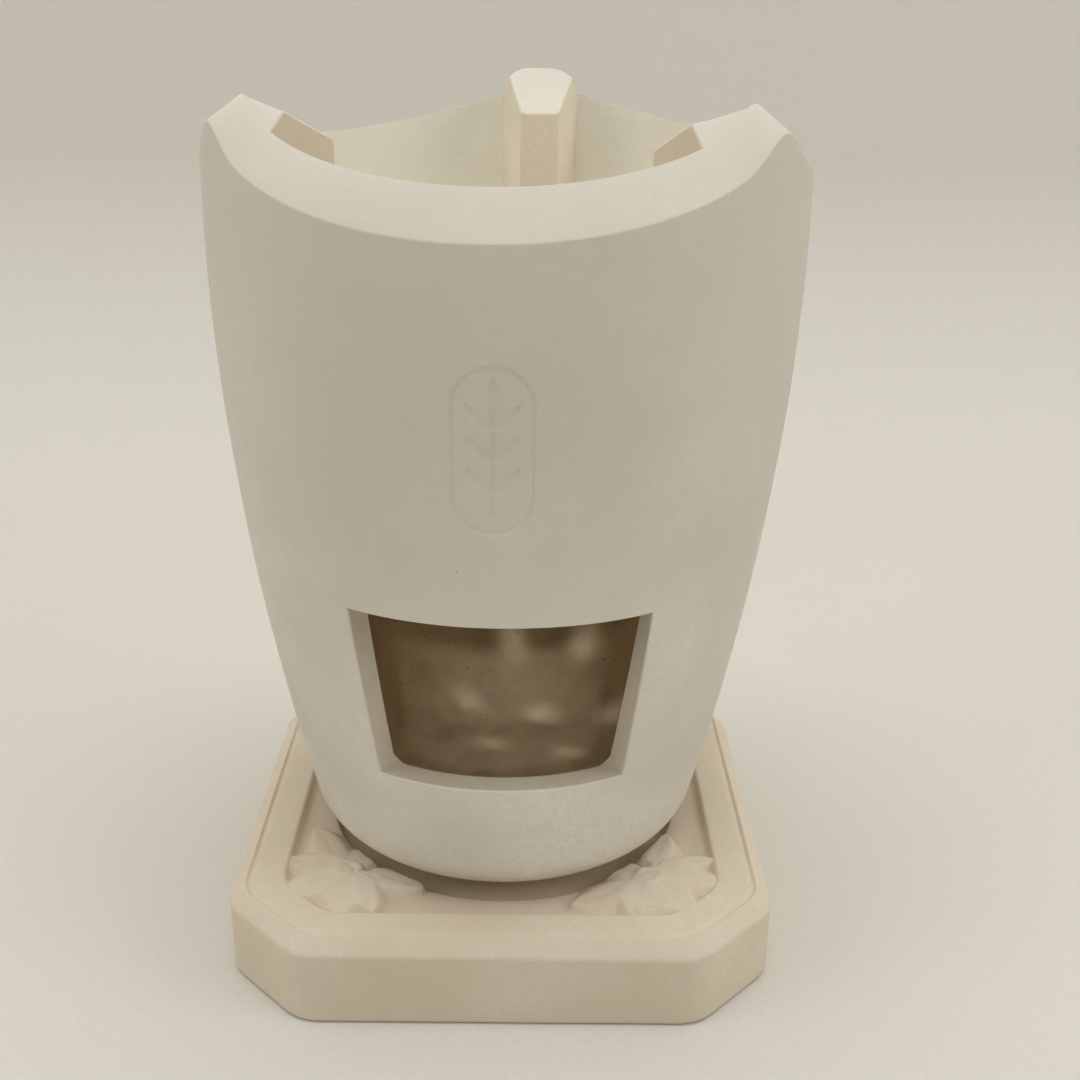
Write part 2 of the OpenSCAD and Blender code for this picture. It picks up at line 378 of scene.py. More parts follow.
def paper(name, dark, pale):
    n = Nodes(name)
    fibre = n.noise(700.0, 2.0)
    n.put(n.shader.inputs["Base Color"], n.blend(n.ramp(fibre, 0.35, 0.65), dark, pale))
    n.put(n.shader.inputs["Roughness"], n.ramp(fibre, 0.3, 0.7, 0.88, 0.96))
    return n.material


# ---------- stove wall ----------

def wall_outer(z):
    """Radius of the outside: widest near the rim, drawn in downwards and rounded at the foot."""
    drawn_in = TAPER * (abs(WIDEST - z) / 100) ** 1.83
    rounding = FOOT_ROUND_DEPTH * max(0.0, 1 - (z - FOOT) / FOOT_ROUND_HEIGHT) ** 2.2
    return WALL_RADIUS - drawn_in - rounding


def wall_inner(z):
    """Radius of the inside, with a cove where the wall meets the ash chamber's floor."""
    straight = min(wall_outer(z) - WALL, RIM_INNER)
    return straight - COVE * math.exp(-(z - ASH_FLOOR) / COVE_HEIGHT)


def rim_levels(angle):
    """Height of the rim's outer and inner edge in that direction."""
    ends = PEAKS + (PEAKS[0] + 360,)
    angle = (angle - PEAKS[0]) % 360 + PEAKS[0]
    k = min(2, bisect.bisect_right(ends, angle) - 1)
    half_span = (ends[k + 1] - ends[k]) / 2
    from_peak = half_span - abs(angle - ends[k] - half_span)
    nearest = k if angle < ends[k] + half_span else (k + 1) % 3
    worn = from_peak + PEAK_WEAR - math.hypot(from_peak, PEAK_WEAR)
    worn *= 1 - smooth(from_peak, 3, 12)
    s = max(0.0, 1 - (from_peak - worn) / half_span)
    rise = 0.86 * s ** 2.1 + 0.14 * s ** 12
    return (DIP_OUTER[k] + (PEAK_OUTER - DIP_OUTER[k]) * rise,
            DIP_INNER[k] + (PEAK_INNER[nearest] - DIP_INNER[k]) * rise)


def rim_height(angle, radius):
    """Height of the sloping rim face at a radius, carried on inwards past its inner edge."""
    outer, inner = rim_levels(angle)
    return outer + (inner - outer) * (RIM_OUTER - radius) / (RIM_OUTER - RIM_INNER)


def stadium_distance(u, v):
    """Distance outside the cartouche's outline, negative inside it."""
    half = MARK_WIDTH / 2
    return math.hypot(u, max(0.0, abs(v) - (MARK_HEIGHT / 2 - half))) - half


def leaf_shape(u, v, root, tip, width):
    """How far inside a pointed leaf a point is: 1 along its middle, 0 at its edge and outside."""
    ax, ay = tip[0] - root[0], tip[1] - root[1]
    length = math.hypot(ax, ay)
    t = ((u - root[0]) * ax + (v - root[1]) * ay) / length ** 2
    if t <= 0 or t >= 1:
        return 0.0
    across = abs((u - root[0]) * ay - (v - root[1]) * ax) / length
    edge = width / 2 * math.sin(math.pi * t ** 0.8) ** 0.8
    return max(0.0, 1 - across / edge) if edge > 1e-6 else 0.0


MARK_LEAVES = [((0, 11.0), (0, 17.5), 3.4)]
for level in (-9.5, -2.0, 5.5):
    for side in (-1, 1):
        MARK_LEAVES.append(((side * 0.5, level), (side * 6.2, level + 5.8), 3.2))


def mark_depth(angle, z):
    """Depth of the plain leaf cartouche in the wall at that place."""
    u = math.radians(angle - MARK_ANGLE) * wall_outer(z)
    v = z - MARK_LEVEL
    outside = stadium_distance(u, v)
    if outside > 1.2:
        return 0.0
    outline = OUTLINE_DEPTH * (1 - smooth(abs(outside + 0.4), 0.1, 0.8))
    field = FIELD_DEPTH * smooth(-outside, 0.4, 1.6)
    stem = 1 - smooth(abs(u), 0.25, 0.75) if -15.5 < v < 12.5 else 0.0
    sprig = max([stem] + [smooth(leaf_shape(u, v, *leaf), 0.0, 0.55) for leaf in MARK_LEAVES])
    return outline + field + SPRIG_DEPTH * sprig


# Half the finely meshed patch round the cartouche, in degrees and in millimetres, and the largest
# steps between the wall's columns and rows.
PATCH_ANGLE = 8.6
PATCH_HEIGHT = 21.5
COLUMN_STEP = 1.5
PATCH_COLUMN_STEP = 0.28
ROW_STEP = 2.2
PATCH_ROW_STEP = 0.43
CURVED_ROW_STEP = 1.0
UPPER_INNER_ROW_STEP = 2.6


def wall_columns():
    """Angles of the wall's columns: close together at the cartouche, exact at edges and peaks."""
    patch = MARK_ANGLE - PATCH_ANGLE
    stops = [WINDOW_MIDDLE - WINDOW_HALF, patch, MARK_ANGLE + PATCH_ANGLE,
             WINDOW_MIDDLE + WINDOW_HALF, PEAKS[2] - 360, PEAKS[0], PEAKS[1],
             WINDOW_MIDDLE - WINDOW_HALF + 360]
    angles = []
    for start, end in zip(stops, stops[1:]):
        angles += steps(start, end, PATCH_COLUMN_STEP if start == patch else COLUMN_STEP)
    return angles


def outer_levels():
    """Levels of the outside's rows, with rows exactly at the window's sill and head."""
    rounded = FOOT + FOOT_ROUND_HEIGHT
    low, high = MARK_LEVEL - PATCH_HEIGHT, MARK_LEVEL + PATCH_HEIGHT
    return (steps(FOOT, rounded, CURVED_ROW_STEP) + steps(rounded, SILL, ROW_STEP)
            + steps(SILL, HEAD, ROW_STEP) + steps(HEAD, low, ROW_STEP)
            + steps(low, high, PATCH_ROW_STEP) + steps(high, RIM_BOTTOM_OUTSIDE, ROW_STEP))


def inner_levels():
    """Levels of the inside's rows, from the ash chamber's floor up."""
    straight = ASH_FLOOR + 14
    return (steps(ASH_FLOOR, straight, CURVED_ROW_STEP) + steps(straight, SILL, ROW_STEP)
            + steps(SILL, HEAD, ROW_STEP) + steps(HEAD, RIM_BOTTOM_INSIDE, UPPER_INNER_ROW_STEP))


def corner_shift(along, above, corner=3.2, fade=6.0):
    """Shift that rounds a window's lower corner. along and above are distances from the corner
    into the window, and points outside it move less and less."""
    p, q = max(0.0, along), max(0.0, above)
    if p >= corner or q >= corner or (p > 0 and q > 0):
        return 0.0, 0.0
    gap = math.hypot(corner - p, corner - q)
    pull = (gap - corner) / gap
    reach = max(0.0, 1 - math.hypot(along - p, above - q) / fade)
    return (corner - p) * pull * reach, (corner - q) * pull * reach


def lean(angle, z, amounts):
    """Degrees to turn a place by, as the window's left and right side lean outwards. amounts
    are for the left and right side at the head, and it fades away from the window."""
    up = min(1.0, max(0.0, (z - SILL) / (HEAD - SILL))) * (1 - smooth(z, HEAD + 4, HEAD + 22))
    turn = 0.0
    for edge, amount in zip((WINDOW_MIDDLE - WINDOW_HALF, WINDOW_MIDDLE + WINDOW_HALF), amounts):
        away = abs((angle - edge + 180) % 360 - 180)
        turn += amount * up * max(0.0, 1 - away / LEAN_REACH)
    return turn


def wall_row(angles, radius_of, level_of):
    """One row of points round the stove, from a radius and a level for each angle."""
    row = []
    for angle in angles:
        r, z, a = radius_of(angle), level_of(angle), math.radians(angle)
        row.append((r * math.cos(a), r * math.sin(a), z))
    return row


FOOT_RINGS = (6.0, 18.0, 27.0, 31.5)


def outer_rows(angles):
    """Rows of points from the middle of the stove's foot to the bottom of the rim."""
    rows = []
    for r in FOOT_RINGS:
        rows.append(wall_row(angles, lambda a: r, lambda a: FOOT))
    for z in outer_levels():
        leaning = [a + lean(a, z, OUTER_LEAN) for a in angles]
        rows.append(wall_row(leaning, lambda a: wall_outer(z) - mark_depth(a, z), lambda a: z))
    return rows


def rim_section(angle):
    """Radius and level down the section of the rim, from the outer wall to the inner wall."""
    outer, inner = rim_levels(angle)
    corners = [(wall_outer(RIM_BOTTOM_OUTSIDE), RIM_BOTTOM_OUTSIDE), (RIM_OUTER, outer),
               (RIM_INNER, inner), (RIM_INNER, RIM_BOTTOM_INSIDE)]
    section = soften(corners, (0.40, 0.35))
    outer_part = [mix(corners[0], section[1], i / 8) for i in range(8)]
    slope = [mix(section[6], section[7], i / 6) for i in range(1, 6)]
    inner_part = [mix(section[12], corners[3], i / 6) for i in range(1, 6)]
    return outer_part + section[1:7] + slope + section[7:13] + inner_part


def rim_rows(angles):
    """Rows of points over the rim, from the outside to the inside."""
    sections = [rim_section(angle) for angle in angles]
    rows = []
    for k in range(len(sections[0])):
        rows.append([(s[k][0] * math.cos(math.radians(a)), s[k][0] * math.sin(math.radians(a)),
                      s[k][1]) for a, s in zip(angles, sections)])
    return rows


def inner_point(angle, z):
    """A point of the inner wall, shifted where the window's lower corners are rounded."""
    radius = wall_inner(z)
    reach = math.radians(WINDOW_HALF) * radius
    along = math.radians(angle - WINDOW_MIDDLE) * radius
    side = 1 if along > 0 else -1
    da, dz = corner_shift(reach - side * along, z - SILL)
    turn = math.radians(angle + lean(angle, z, INNER_LEAN)) - side * da / radius
    return radius * math.cos(turn), radius * math.sin(turn), z + dz


def ash_level(angle, radius):
    """Height of the rough floor of the ash chamber."""
    x, y = radius * math.cos(math.radians(angle)), radius * math.sin(math.radians(angle))
    lumps = 0.30 * wobble(x, y, 0, 11, 7) + 0.22 * wobble(x, y, 0, 3.6, 12)
    return ASH_FLOOR + lumps * smooth(wall_inner(ASH_FLOOR) - radius, 0, 6)


def inner_rows(angles):
    """Rows of points down the inner wall and across the ash chamber's floor."""
    levels = inner_levels()[::-1]
    rows = [[inner_point((a + 270) % 360 - 270, z) for a in angles] for z in levels]
    for r in steps(wall_inner(ASH_FLOOR) - 1.5, 3.0, 2.0):
        rows.append(wall_row(angles, lambda a: r, lambda a: ash_level(a, r)))
    return rows


def uneven(point):
    """The slight unevenness of a hand-finished wall, always into the clay."""
    x, y, z = point
    radius = max(1.0, math.hypot(x, y))
    depth = 0.10 * (1 + wobble(x, y, z, 26, 3)) + 0.04 * (1 + wobble(x, y, z * 3, 7, 8))
    scale = 1 - depth * smooth(radius, 20, 50) / radius
    return x * scale, y * scale, z


def window_loop(columns, last, low, high):
    """Indices of the points round the window in one surface, as one loop."""
    def at(row, column):
        return row * columns + column

    across = list(range(last + 1))
    up = list(range(low + 1, high)) if high > low else list(range(low - 1, high, -1))
    return ([at(low, c) for c in across] + [at(r, last) for r in up]
            + [at(high, c) for c in across[::-1]] + [at(r, 0) for r in up[::-1]])


OUTSIDE, INSIDE, CHAMBER, CUT, TRIMMED = range(5)


def build_wall(materials):
    """The turned wall, with its materials in order: outside, inside, chamber, window and rim."""
    angles = wall_columns()
    columns = len(angles)
    outside = outer_rows(angles)
    rim = rim_rows(angles)
    inner = inner_rows(angles)
    rows = outside + rim + inner
    points = [uneven(p) for row in rows for p in row]
    last = bisect.bisect_left(angles, WINDOW_MIDDLE + WINDOW_HALF - 1e-6)
    top = len(outside) + len(rim)
    rising = outer_levels()
    outer_sill, outer_head = [len(FOOT_RINGS) + rising.index(z) for z in (SILL, HEAD)]
    falling = inner_levels()[::-1]
    inner_sill, inner_head = [top + falling.index(z) for z in (SILL, HEAD)]

    def in_window(row, column):
        return column < last and (outer_sill <= row < outer_head or inner_head <= row < inner_sill)

    faces = []
    for r in range(len(rows) - 1):
        for c in range(columns):
            if not in_window(r, c):
                d = (c + 1) % columns
                faces.append((r * columns + c, r * columns + d, (r + 1) * columns + d,
                              (r + 1) * columns + c))
    faces.append(tuple(range(columns))[::-1])
    faces.append(tuple(range((len(rows) - 1) * columns, len(rows) * columns)))

    outer_loop = window_loop(columns, last, outer_sill, outer_head)
    inner_loop = window_loop(columns, last, inner_sill, inner_head)
    bands = [outer_loop]
    depth_steps = 5
    for k in range(1, depth_steps):
        start = len(points)
        points += [mix(points[a], points[b], k / depth_steps)
                   for a, b in zip(outer_loop, inner_loop)]
        bands.append(list(range(start, start + len(outer_loop))))
    bands.append(inner_loop)
    around = len(outer_loop)
    first_reveal = len(faces)
    for near, far in zip(bands, bands[1:]):
        faces += [(near[i], near[(i + 1) % around], far[(i + 1) % around], far[i])
                  for i in range(around)]

    wall = make_piece("stove_wall", points, faces, "stove", materials[OUTSIDE],
                      ["stove_body"], 40)
    for other in materials[1:]:
        wall.data.materials.append(other)
    for face in wall.data.polygons:
        middle = face.center / MM
        radius = math.hypot(middle.x, middle.y)
        # The window's cut faces take the darker clay with painted shade.
        if face.index >= first_reveal:
            face.material_index = CUT
            continue
        if middle.z > RIM_BOTTOM_INSIDE and face.normal.z > 0.25:
            face.material_index = TRIMMED
            continue
        if middle.z < ASH_FLOOR - 3 or radius > wall_inner(max(ASH_FLOOR, middle.z)) + 0.6:
            continue
        # The ash chamber takes the clay with painted light.
        if middle.z < BOWL_TOP:
            face.material_index = CHAMBER
        # The inner wall above the bowl takes the paler clay with painted light.
        elif abs(face.normal.z) < 0.2:
            face.material_index = INSIDE
    round_edges(wall, [outer_loop, inner_loop], 0.5, TRIMMED)


def round_edges(piece, loops, width, material_index):
    """A narrow rounding along closed loops of edges, in one of the piece's materials."""
    pairs = set()
    for loop in loops:
        pairs |= {frozenset(pair) for pair in zip(loop, loop[1:] + loop[:1])}
    weight = piece.data.attributes.new("bevel_weight_edge", "FLOAT", "EDGE")
    for edge in piece.data.edges:
        if frozenset(edge.vertices) in pairs:
            weight.data[edge.index].value = 1.0
    bevel = piece.modifiers.new("arris", "BEVEL")
    bevel.width = width * MM
    bevel.segments = 3
    bevel.limit_method = "WEIGHT"
    bevel.material = material_index


# ---------- pot rests ----------

# For the back, left and right rest. REST_HALF_WIDTHS has a width to each side at the wall.
REST_ANGLES = (83.0, 210.0, 318.5)
NOSE_TOPS = (222.6, 221.5, 220.6)
REST_SLOPES = (0.7, 0.5, 0.53)
NOSE_SHIFTS = (-2.0, 0.0, 0.0)
NOSE_RADIUS = 50.0
NOSE_BOTTOM = 194.0
REST_WALL_BOTTOM = 182.6
NOSE_HALF_WIDTH = 5.7
REST_HALF_WIDTHS = ((11.6, 11.6), (6.4, 11.6), (11.6, 7.2))
REST_OVERLAP = 1.8
CROWNED = (True, False, False)


def rest_point(k, reach, side, level):
    """A point of a rest. reach runs along the rest from the axis, and side from -1 to 1."""
    part = (reach - NOSE_RADIUS) / (RIM_INNER - NOSE_RADIUS)
    wide = REST_HALF_WIDTHS[k][side > 0]
    across = NOSE_SHIFTS[k] * (1 - part) + side * (
        NOSE_HALF_WIDTH + (wide - NOSE_HALF_WIDTH) * part)
    turn = math.radians(REST_ANGLES[k])
    return (reach * math.cos(turn) - across * math.sin(turn),
            reach * math.sin(turn) + across * math.cos(turn), level)


def rest_section(k, side):
    """The outline of a rest at one place across its width. Its nose is rounded at the sides."""
    end = math.sqrt(RIM_INNER ** 2 - (REST_HALF_WIDTHS[k][side > 0] * side) ** 2) + REST_OVERLAP
    nose = NOSE_RADIUS + 0.35 * smooth(abs(side), 0.8, 1.0)
    crown = side * abs(side) if CROWNED[k] else side

    def slope(reach):
        return NOSE_TOPS[k] + REST_SLOPES[k] * (reach - NOSE_RADIUS)

    def rim(reach):
        x, y, _ = rest_point(k, reach, crown, 0)
        return rim_height(math.degrees(math.atan2(y, x)), math.hypot(x, y))

    low, high = nose, end
    for _ in range(30):
        ridge = (low + high) / 2
        low, high = (ridge, high) if slope(ridge) < rim(ridge) else (low, ridge)
    corners = [(end, REST_WALL_BOTTOM), (nose, NOSE_BOTTOM), (nose, slope(nose)),
               (ridge, slope(ridge)), (end, rim(end) - 0.3)]
    section = soften(corners, (1.0, 0.7, 0.5), 3)
    return [p for a, b in zip(section, section[1:]) for p in (a, mix(a, b, 0.5))] + [section[-1]]


TOP, NOSE, SIDES = range(3)


def build_rest(k, place, materials):
    """A wedge luted to the wall, with its materials in order: top, nose and sides. Its top was
    trimmed with the rim, and its other faces are rougher."""
    half_steps = 9
    sides = [i / half_steps for i in range(-half_steps, half_steps + 1)]
    sections = [rest_section(k, side) for side in sides]
    count = len(sections[0])
    points = []
    for side, section in zip(sides, sections):
        for reach, level in section:
            rough = (0.5 + 0.35 * wobble(reach, level, side * 3 + 9 * k, 9, 5 + k)
                     + 0.15 * wobble(reach, level, side * 3, 3, 8 + k))
            free = smooth(RIM_INNER - reach, 0.5, 4)
            points.append(rest_point(k, reach, side * (1 - 0.09 * rough * free),
                                     level - 0.4 * rough * free))
    faces = grid_faces(len(sides), count)
    faces.append(tuple(range(count))[::-1])
    faces.append(tuple(range((len(sides) - 1) * count, len(sides) * count)))
    piece = make_piece("luted_rest_" + place, points, faces, "stove",
                       materials[TOP], ["pot_rest_" + place], 40)
    for other in materials[1:]:
        piece.data.materials.append(other)
    turn = math.radians(REST_ANGLES[k])
    to_axis = Vector((-math.cos(turn), -math.sin(turn), 0))
    # Steep faces take the nose and side clays: painted shade on the noses and the side rests' sides,
    # painted light on the back rest's sides.
    for face in piece.data.polygons:
        if face.normal.z < 0.35:
            face.material_index = NOSE if face.normal.dot(to_axis) > 0.6 else SIDES
    bevel = piece.modifiers.new("arris", "BEVEL")
    bevel.width = 0.35 * MM
    bevel.segments = 2
    bevel.limit_method = "ANGLE"
    bevel.angle_limit = math.radians(50)


# ---------- fire bowl and grate ----------

def turned(profile, count=160):
    """A closed solid of revolution from a closed profile of radius and level."""
    points = []
    for r, z in profile:
        for i in range(count):
            a = math.tau * i / count
            depth = 0.12 * (1 + wobble(r * math.cos(a), r * math.sin(a), z, 14, 2))
            points.append(((r - depth) * math.cos(a), (r - depth) * math.sin(a), z))
    faces = grid_faces(len(profile), count)
    last = (len(profile) - 1) * count
    faces += [(last + i, last + (i + 1) % count, (i + 1) % count, i) for i in range(count)]
    return points, faces


def build_bowl(material):
    corners = [(68.7, 173.0), (68.7, 168.0), (60, 151), (50, 131), (45, 114.6), (31, 114.6),
               (31, 119), (37.5, 119), (37.5, 131), (45, 138), (54, 152), (61, 166), (65.5, 178),
               (68.7, 178), (68.7, 173.0)]
    radii = (2, 12, 12, 1, 1, 0.5, 0.8, 1.4, 8, 12, 12, 1.5, 0.6)
    profile = refine(soften(corners, radii), 3.0)[:-1]
    points, faces = turned(profile)
    faces = [f[::-1] for f in faces]
    make_piece("fire_bowl_clay", points, faces, "stove", material, ["fire_bowl"], 40)


GRATE_HOLE_RADIUS = 5.5
GRATE_HOLE_SPACING = 23.0
GRATE_TURN = -12.0


def circle_curve(curve, radius, middle, count=72):
    """A closed circle added to a flat curve."""
    line = curve.splines.new("POLY")
    line.points.add(count - 1)
    line.use_cyclic_u = True
    for i, point in enumerate(line.points):
        a = math.tau * i / count
        point.co = ((middle[0] + radius * math.cos(a)) * MM, (middle[1] + radius * math.sin(a)) * MM,
                    0, 1)


def build_grate(material):
    """A thick disc with a middle hole and six round it, all with worn edges."""
    edge = 0.8
    radius = grate_high.x
    thickness = grate_high.z - grate_low.z
    curve = bpy.data.curves.new("grate_outline", "CURVE")
    curve.dimensions = "2D"
    curve.fill_mode = "BOTH"
    curve.extrude = (thickness / 2 - edge) * MM
    curve.bevel_depth = edge * MM
    curve.bevel_resolution = 3
    circle_curve(curve, radius - edge, (0, 0), 144)
    hole = GRATE_HOLE_RADIUS + edge
    circle_curve(curve, hole, (0, 0))
    for i in range(6):
        a = math.radians(GRATE_TURN + 60 * i)
        circle_curve(curve, hole, (GRATE_HOLE_SPACING * math.cos(a),
                                   GRATE_HOLE_SPACING * math.sin(a)))
    maker = bpy.data.objects.new("grate_outline", curve)
    bpy.context.scene.collection.objects.link(maker)
    bpy.context.view_layer.update()
    mesh = bpy.data.meshes.new_from_object(maker.evaluated_get(
        bpy.context.evaluated_depsgraph_get()))
    bpy.data.objects.remove(maker)
    mesh.name = "grate_disc"
    mesh.transform(Matrix.Translation((0, 0, (grate_low.z + thickness / 2) * MM)))
    mesh.materials.clear()
    mesh.materials.append(material)
    mesh.shade_smooth()
    mesh.set_sharp_from_angle(angle=math.radians(40))
    piece = bpy.data.objects.new("grate_disc", mesh)
    bpy.context.scene.collection.objects.link(piece)
    weld = piece.modifiers.new("weld", "WELD")
    weld.merge_threshold = 0.01 * MM
    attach(piece, "loose_grate")
    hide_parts("grate")


# ---------- tray ----------

LONG_SIDE_STEPS = 112
SHORT_SIDE_STEPS = 38
CORNER_STEPS = 5


def octagon_ring(inset, rounding):
    """Points round a chamfered square that stands in from the tray's sides."""
    a = TRAY_HALF - inset
    b = a - TRAY_CHAMFER + inset * (2 - math.sqrt(2))
    corners = [(b, -a), (a, -b), (a, b), (b, a), (-b, a), (-a, b), (-a, -b), (-b, -a)]
    arcs = []
    for k, here in enumerate(corners):
        before, after = corners[k - 1], corners[(k + 1) % 8]
        start = mix(here, before, rounding / math.dist(here, before))
        end = mix(here, after, rounding / math.dist(here, after))
        arcs.append([mix(mix(start, here, i / CORNER_STEPS), mix(here, end, i / CORNER_STEPS),
                         i / CORNER_STEPS) for i in range(CORNER_STEPS + 1)])
    ring = []
    for k, arc in enumerate(arcs):
        count = SHORT_SIDE_STEPS if k % 2 == 0 else LONG_SIDE_STEPS
        ring += arc
        ring += [mix(arc[-1], arcs[(k + 1) % 8][0], i / count) for i in range(1, count)]
    return ring


def circle_ring(radius, directions):
    """Points of a circle in the directions of the given points."""
    return [(radius * x / math.hypot(x, y), radius * y / math.hypot(x, y)) for x, y in directions]


# Leaves of one corner: root, tip, width, height. Drawn for the corner at -X -Y.
CORNER_LEAVES = [
    ((-45, -38), (-56, -19.0), 15, 2.3),
    ((-42, -40), (-35, -26), 14, 2.6),
    ((-43, -39), (-62.5, -36), 16, 2.7),
    ((-38, -42), (-21.5, -48.5), 15, 3.1),
    ((-42, -44), (-45, -64), 17, 2.8),
    ((-42, -41), (-61, -53), 19, 3.3),
    ((-39, -44), (-34, -60.5), 11, 3.5),
]
CORNER_BUD = ((-43, -41.5), 6.5, 3.7)


def moulded_leaf(x, y, root, tip, width, height):
    """Height of one broad domed leaf with a shallow groove down its middle."""
    ax, ay = tip[0] - root[0], tip[1] - root[1]
    length = math.hypot(ax, ay)
    t = ((x - root[0]) * ax + (y - root[1]) * ay) / length ** 2
    if not 0 < t < 1:
        return 0.0
    across = abs((x - root[0]) * ay - (y - root[1]) * ax) / length
    s = min(1.0, across / (width / 2 * math.sin(math.pi * t ** 0.8) ** 0.6 + 1e-6))
    groove = 0.09 * math.exp(-(across / 1.1) ** 2) * smooth(t, 0.15, 0.35)
    body = 0.65 * smooth(1 - s, 0.0, 0.6) + 0.35 * math.sqrt(1 - s * s)
    return height * body * (1 - groove) * (0.85 + 0.15 * smooth(1 - t, 0.0, 0.5))


def relief(x, y):
    """Height of the leaf relief above the panel. All four corners are alike."""
    if min(abs(x), abs(y)) < 12:
        return 0.0
    u, v = -abs(x), -abs(y)
    if x * y < 0:
        u, v = v, u
    u += 0.6 * wobble(x, y, 0, 11, 4)
    v += 0.6 * wobble(y, x, 0, 11, 6)
    (bx, by), radius, height = CORNER_BUD
    gap = math.hypot(u - bx, v - by) / radius
    dimple = 0.22 * math.exp(-(gap / 0.35) ** 2)
    bud = height * smooth(1 - gap, 0.0, 0.5) * (1 - dimple)
    heights = [bud] + [moulded_leaf(u, v, *leaf) for leaf in CORNER_LEAVES]
    return 0.9 * sum(h ** 5 for h in heights) ** 0.2


def tray_rings():
    """Rings of points from the middle of the underside, over the sides, to the well's floor."""
    outline = [(FOOT_EDGE, FOOT_RECESS), (FOOT_EDGE, 0.0), (0.8, 0.0), (0.0, 1.0),
               (0.0, TRAY_WALL_TOP), (TRAY_BEVEL, TRAY_TOP), (TRAY_BEVEL + 0.8, TRAY_TOP - 0.95),
               (TRAY_BEVEL + 2.0, BORDER), (RECESS_INSET, BORDER), (RECESS_INSET + 1.6, PANEL),
               (RECESS_INSET + 3.4, PANEL)]
    radii = (0.4, 0.5, 0.5, 0.9, 0.5, 0.4, 0.5, 0.7, 1.2)
    section = refine(soften(outline, radii), 1.1)
    base = octagon_ring(FOOT_EDGE, TRAY_CORNER)
    rings = [[(x * k, y * k, FOOT_RECESS) for x, y in base] for k in (0.12, 0.5, 0.85)]
    for inset, level in section:
        ring = octagon_ring(inset, TRAY_CORNER)
        rings.append([(x, y, max(level, PANEL + relief(x, y)) if level > TRAY_WALL_TOP
                       and inset > TRAY_BEVEL else level) for x, y in ring])
    border = octagon_ring(section[-1][0], TRAY_CORNER)
    well = circle_ring(WELL_RADIUS + 0.9, border)
    panel_steps = 46
    for i in range(1, panel_steps + 1):
        blended = [mix(p, q, i / panel_steps) for p, q in zip(border, well)]
        rings.append([(x, y, PANEL + relief(x, y)) for x, y in blended])
    edge = [PANEL + relief(x, y) for x, y in well]
    well_side = [(0.35, 0.10), (0.0, 0.28), (0.0, 0.6), (0.0, 0.85), (-0.5, 0.97), (-1.2, 1.0)]
    for outwards, part in well_side:
        ring = circle_ring(WELL_RADIUS + outwards, border)
        rings.append([(x, y, top + (WELL_FLOOR - top) * part) for (x, y), top in zip(ring, edge)])
    for radius in (46.0, 38.0, 26.0, 10.0):
        rings.append([(x, y, WELL_FLOOR) for x, y in circle_ring(radius, border)])
    return rings


CASTING, WELL, SUNK_PANEL = range(3)


def build_tray(materials):
    """The tray as one casting, with its materials in order: casting, well and sunk panel."""
    rings = tray_rings()
    columns = len(rings[0])
    points = []
    for ring in rings:
        for x, y, z in ring:
            lift = 0.14 * wobble(x, y, z, 17, 11) if z > 3 and math.hypot(x, y) > WELL_RADIUS else 0
            pull = 1 - 0.0012 * (1 + wobble(x, y, z, 24, 5))
            points.append((x * pull, y * pull, z + lift * smooth(z, 3, 12)))
    faces = grid_faces(len(rings), columns)
    faces.append(tuple(range(columns))[::-1])
    faces.append(tuple(range((len(rings) - 1) * columns, len(rings) * columns)))
    tray = make_piece("tray_casting", points, faces, "tray_base",
                      materials[CASTING], ["tray_floor", "tray_border"], 50)
    for other in materials[1:]:
        tray.data.materials.append(other)
    panel_edge = TRAY_HALF - RECESS_INSET
    for face in tray.data.polygons:
        middle = face.center / MM
        if middle.z < FOOT_RECESS + 1:
            continue
        if math.hypot(middle.x, middle.y) < WELL_RADIUS + 0.1:
            face.material_index = WELL
        # The sunk panel takes the darker clay with painted shade.
        elif max(abs(middle.x), abs(middle.y)) < panel_edge and middle.z < BORDER - 0.5:
            face.material_index = SUNK_PANEL


# ---------- studio ----------

def swept_corner(radius, count=24):
    """Distance from a wall and height above the floor, along the curve that joins them."""
    return [(radius * (1 - math.sin(math.pi / 2 * i / count)),
             radius * (1 - math.cos(math.pi / 2 * i / count))) for i in range(count + 1)]


def stage_mesh(name, rows, material):
    """A strip of the studio, from rows of points across it."""
    across = len(rows[0])
    mesh = bpy.data.meshes.new(name)
    mesh.from_pydata([(x * MM, y * MM, z * MM) for row in rows for x, y, z in row], [],
                     grid_faces(len(rows), across, closed=False))
    mesh.materials.append(material)
    mesh.shade_smooth()
    strip = bpy.data.objects.new(name, mesh)
    bpy.context.scene.collection.objects.link(strip)


def build_backdrop():
    """A pale floor that sweeps up into a plain wall behind the stove, with low walls far off on
    the other sides, so that a side view from above ends on paper."""
    half, front, back, back_height, far_height = 5000.0, -5000.0, 470.0, 1900.0, 1400.0
    near_paper = paper("backdrop_paper", (0.685, 0.668, 0.612, 1), (0.712, 0.696, 0.644, 1))
    far_paper = paper("far_paper", (0.910, 0.890, 0.830, 1), (0.930, 0.910, 0.850, 1))
    line = [(front, 0.0)] + [(back - gap, z) for gap, z in swept_corner(170.0)]
    line = refine(line + [(back, back_height)], 120.0)
    stage_mesh("backdrop", [[(-half, y, z), (half, y, z)] for y, z in line], near_paper)
    rows = []
    for gap, z in swept_corner(300.0) + [(0.0, far_height)]:
        side, near = half - gap, front + gap
        rows.append([(side, back, z), (side, near, z), (-side, near, z), (-side, back, z)])
    stage_mesh("far_walls", rows, far_paper)


